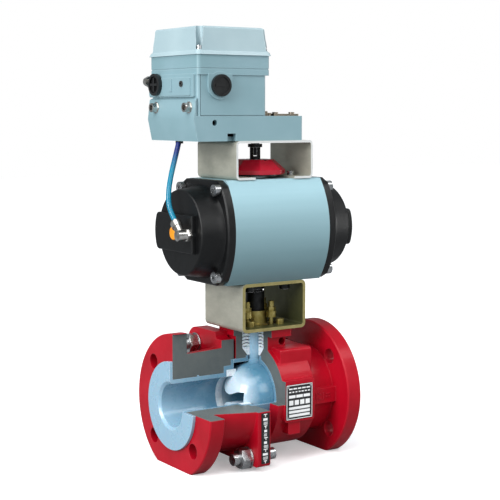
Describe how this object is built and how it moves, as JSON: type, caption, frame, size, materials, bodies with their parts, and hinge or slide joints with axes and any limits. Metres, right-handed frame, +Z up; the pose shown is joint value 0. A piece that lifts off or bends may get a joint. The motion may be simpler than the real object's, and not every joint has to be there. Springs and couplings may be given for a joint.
{
  "type": "rotary pneumatic actuator",
  "caption": "Quarter-turn rack-and-pinion pneumatic actuator with positioner on top, bracketed to the flanged lined ball valve it turns, with an eighth of the valve cut away.",
  "frame": {"origin": "crossing of the pipe axis and the stem axis, at the centre of the ball", "axes": "+X along the pipe towards the outlet flange, +Z up the stem, -Y the side with the cut-away window"},
  "size_m": [0.2358, 0.1705, 0.501],
  "materials": {
    "red_paint": "gloss enamel over cast iron, bare where it is cut",
    "liner_blue": "smooth fluoropolymer lining",
    "ball_blue": "smooth fluoropolymer lining",
    "white_ptfe": "machined white seal plastic",
    "yellow_zinc": "yellow passivated zinc",
    "bright_steel": "bright zinc or stainless",
    "plate_metal": "printed plate",
    "label_film": "printed film",
    "bracket_steel": "zinc plated sheet",
    "black_steel": "blackened steel",
    "barrel_aluminium": "blue-grey hard anodised",
    "cap_black": "black powder coat, satin",
    "black_rubber": "soft",
    "pinion_steel": "nickel plated",
    "bush_plastic": "bearing plastic",
    "piston_aluminium": "cast and machined",
    "spring_steel": "coated spring wire",
    "orange_plastic": "moulded",
    "nickel_brass": "nickel plated brass",
    "blue_tube": "extruded tube",
    "red_plastic": "moulded",
    "black_plastic": "moulded",
    "positioner_paint": "satin powder coat over die casting",
    "lid_paint": "satin powder coat over die casting",
    "board_green": "circuit laminate",
    "clamp_metal": "plated steel"
  },
  "bodies": {
    "housing": {"main_body": "red_paint", "outlet_neck": "red_paint", "tail_body": "red_paint", "body_liner": "liner_blue", "tail_liner": "liner_blue", "seat_ring_left": "white_ptfe", "seat_ring_right": "white_ptfe", "packing_base_ring": "white_ptfe", "packing_rings": "white_ptfe", "gland_follower": "yellow_zinc", "gland_studs": "yellow_zinc", "gland_nuts": "yellow_zinc", "joint_studs": "bright_steel", "joint_nuts": "bright_steel", "name_plate": "plate_metal", "plate_rivets": "bright_steel", "label_strip": "label_film", "lower_bracket": "bracket_steel", "bracket_valve_screws": "yellow_zinc", "bracket_actuator_screws": "black_steel", "barrel": "barrel_aluminium", "cap_left": "cap_black", "cap_right": "cap_black", "cap_screws": "bright_steel", "cap_gaskets": "black_rubber", "pinion_bushes": "bush_plastic", "spring_left": "spring_steel", "spring_right": "spring_steel", "stop_screws": "bright_steel", "cap_plugs": "orange_plastic", "elbow_fitting": "nickel_brass", "tube_nut": "nickel_brass", "air_tube": "blue_tube", "upper_bracket": "bracket_steel", "upper_bracket_screws": "bright_steel", "positioner_base": "positioner_paint", "positioner_housing": "positioner_paint", "positioner_lid": "lid_paint", "lid_screws": "bright_steel", "circuit_board": "board_green", "pilot_valve": "piston_aluminium", "cable_gland": "black_plastic", "blank_plug": "black_plastic", "air_ports": "nickel_brass", "rear_fitting": "nickel_brass", "seal_screw": "black_steel", "clamp_plate": "clamp_metal", "tube_outlet": "black_plastic"},
    "drive": {"ball_and_stem": "ball_blue", "drive_coupling": "black_steel", "pinion": "pinion_steel", "pinion_clip": "pinion_steel", "position_indicator": "red_plastic", "indicator_disc": "black_plastic", "feedback_fork": "black_steel", "positioner_shaft": "black_steel"},
    "left_piston": {"piston_left": "piston_aluminium", "piston_ring_left": "black_rubber"},
    "right_piston": {"piston_right": "piston_aluminium", "piston_ring_right": "black_rubber"}
  },
  "joints": [
    {"name": "valve_turn", "type": "hinge", "parent": "housing", "child": "drive", "pos_m": [0, 0, 0], "axis": [0, 0, -1], "range_deg": [0, 90]},
    {"name": "left_piston_slide", "type": "slide", "parent": "housing", "child": "left_piston", "axis": [1, 0, 0], "range_m": [0, 0.0189], "deforming": ["spring_left"]},
    {"name": "right_piston_slide", "type": "slide", "parent": "housing", "child": "right_piston", "axis": [-1, 0, 0], "range_m": [0, 0.0189], "deforming": ["spring_right"]}
  ],
  "couplings": [
    {"joint": "left_piston_slide", "follows": "valve_turn", "m_per_rad": 0.012},
    {"joint": "right_piston_slide", "follows": "valve_turn", "m_per_rad": 0.012}
  ]
}
